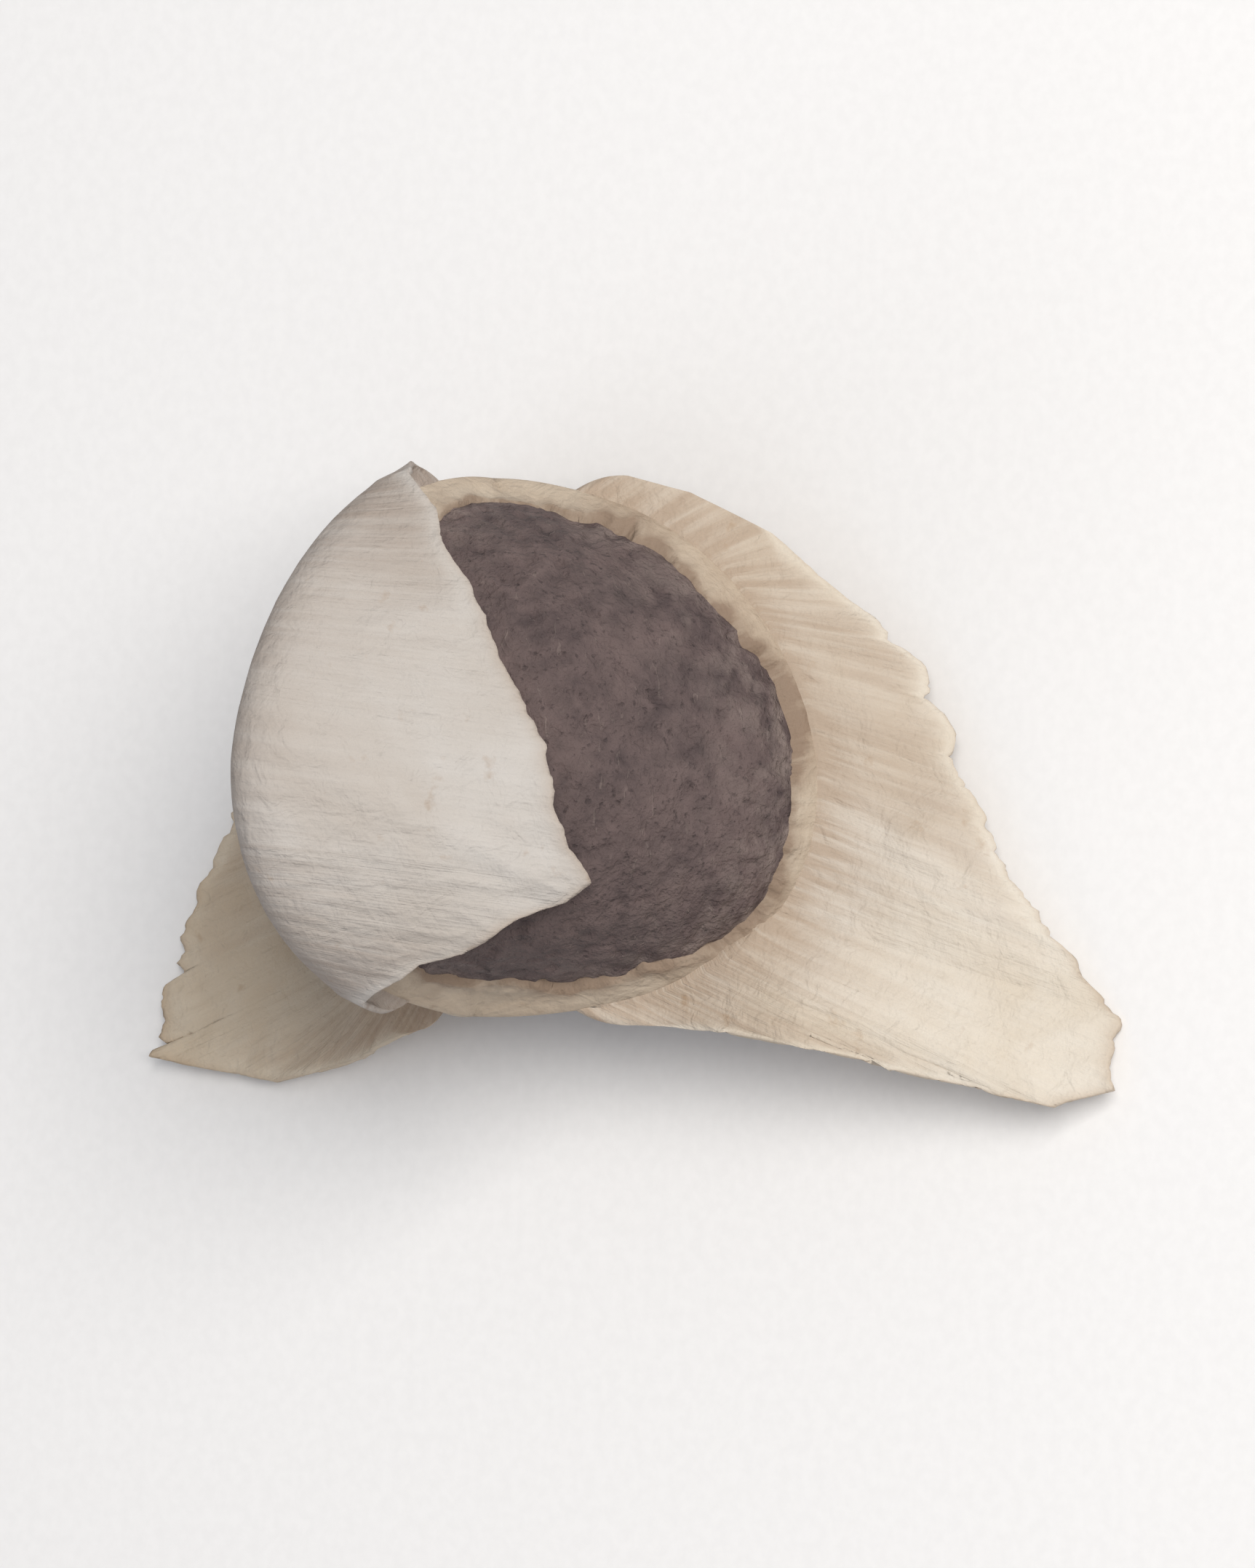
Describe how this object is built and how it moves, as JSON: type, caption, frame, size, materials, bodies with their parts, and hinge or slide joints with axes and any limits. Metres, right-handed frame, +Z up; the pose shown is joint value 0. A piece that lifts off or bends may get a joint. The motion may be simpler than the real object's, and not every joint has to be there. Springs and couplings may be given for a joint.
{
  "type": "moringa seed",
  "caption": "Dry winged seed: a dark, roundish, three-keeled hull in a pale papery coat whose wings meet at both poles, resting on its side.",
  "frame": {"origin": "centre of the part's box in X and Y, on the surface that it rests on", "axes": "+Z up, +Y along the widest spread of the wings, +X towards the pole where the wings are narrow"},
  "size_m": [0.0136, 0.024, 0.0133],
  "materials": {
    "seed_hull": "dry, matte, finely pitted seed hull, dark warm brown",
    "papery_wings": "thin, dry, cream seed paper, slightly see-through, tan beside the hull"
  },
  "bodies": {
    "root": {"seed_hull": "seed_hull", "papery_wings": "papery_wings"}
  },
  "joints": []
}
